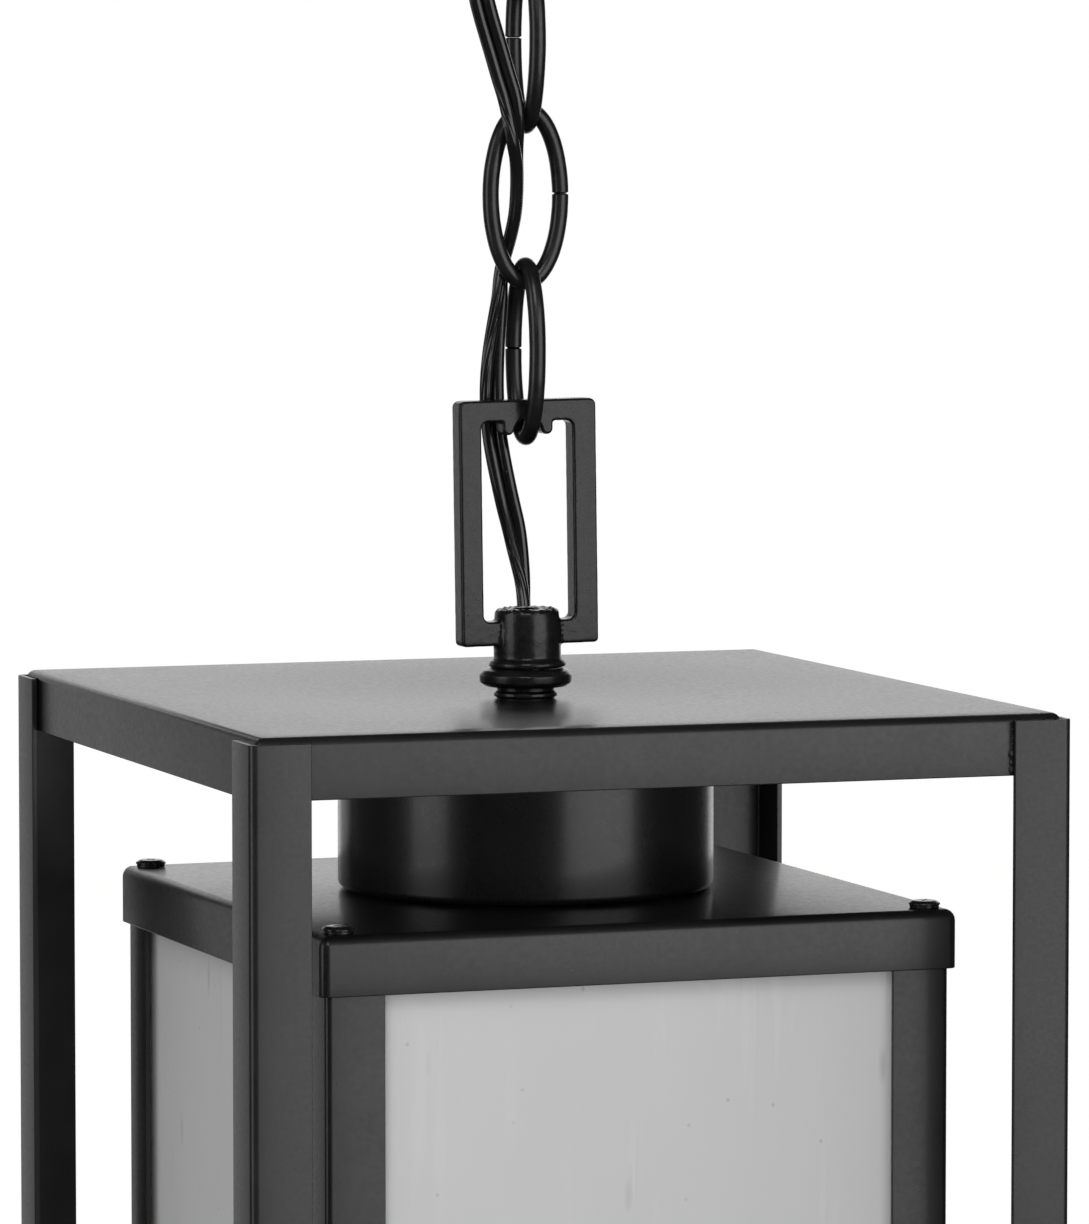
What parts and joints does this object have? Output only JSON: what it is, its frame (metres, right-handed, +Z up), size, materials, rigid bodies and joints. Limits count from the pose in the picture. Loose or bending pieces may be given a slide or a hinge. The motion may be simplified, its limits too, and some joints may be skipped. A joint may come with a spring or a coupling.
{
  "type": "hanging lantern",
  "caption": "Square lantern of etched glass inside a taller open square frame, hung from a round ceiling canopy on a short chain with a flat cord threaded through it.",
  "frame": {"origin": "middle of the canopy where it meets the ceiling", "axes": "+Z up, towards the ceiling; the front is towards -Y and +X is to the viewer's right"},
  "size_m": [0.2, 0.2, 0.6385],
  "materials": {
    "powder_coat": "satin black powder coat",
    "black_casting": "semi-gloss black over a rough casting",
    "black_chain": "semi-gloss black",
    "black_screw": "glossy black",
    "black_cord": "semi-gloss black sheath",
    "etched_glass": "etched, seeded",
    "zinc_steel": "zinc plated",
    "green_screw": "green",
    "socket_brass": "bright",
    "porcelain": "glazed"
  },
  "bodies": {
    "canopy_body": {"crossbar": "zinc_steel", "ground_screw": "green_screw", "canopy_stem": "zinc_steel", "crossbar_nut": "zinc_steel", "canopy": "powder_coat", "canopy_collar": "black_casting", "canopy_loop": "black_casting"},
    "top_link": {"link_top": "black_chain", "cord_at_canopy": "black_cord"},
    "middle_link": {"link_middle": "black_chain", "cord_upper": "black_cord"},
    "bottom_link": {"link_bottom": "black_chain", "cord_lower": "black_cord"},
    "lantern_body": {"lantern_loop": "black_casting", "lantern_collar": "black_casting", "seat_ring": "black_casting", "lantern_stem": "zinc_steel", "top_plate": "powder_coat", "outer_post_front_left": "powder_coat", "outer_post_front_right": "powder_coat", "outer_post_back_right": "powder_coat", "outer_post_back_left": "powder_coat", "bottom_rail_front": "powder_coat", "bottom_rail_right": "powder_coat", "bottom_rail_back": "powder_coat", "bottom_rail_left": "powder_coat", "spacer_drum": "powder_coat", "cage_cap": "powder_coat", "cap_screw_front_left": "black_screw", "cap_screw_front_right": "black_screw", "cap_screw_back_right": "black_screw", "cap_screw_back_left": "black_screw", "cage_top_frame": "powder_coat", "cage_post_front_left": "powder_coat", "cage_post_front_right": "powder_coat", "cage_post_back_right": "powder_coat", "cage_post_back_left": "powder_coat", "glass_front": "etched_glass", "glass_right": "etched_glass", "glass_back": "etched_glass", "glass_left": "etched_glass", "cage_base": "powder_coat", "lock_washer": "zinc_steel", "stem_nut": "zinc_steel", "socket_cap": "socket_brass", "socket_body": "porcelain", "screw_shell": "socket_brass", "centre_contact": "socket_brass", "cord_at_lantern": "black_cord"}
  },
  "joints": [
    {"name": "canopy_swing", "type": "hinge", "parent": "canopy_body", "child": "top_link", "pos_m": [0, 0, -0.0878], "axis": [1, 0, 0], "range_deg": [-35, 35], "deforming": ["cord_at_canopy"]},
    {"name": "top_link_swing", "type": "hinge", "parent": "top_link", "child": "middle_link", "pos_m": [0, 0, -0.1226], "axis": [0, 1, 0], "range_deg": [-35, 35], "deforming": ["cord_upper"]},
    {"name": "middle_link_swing", "type": "hinge", "parent": "middle_link", "child": "bottom_link", "pos_m": [0, 0, -0.16], "axis": [1, 0, 0], "range_deg": [-35, 35], "deforming": ["cord_lower"]},
    {"name": "lantern_swing", "type": "hinge", "parent": "bottom_link", "child": "lantern_body", "pos_m": [0, 0, -0.1974], "axis": [0, 1, 0], "range_deg": [-35, 35], "deforming": ["cord_at_lantern"]}
  ]
}
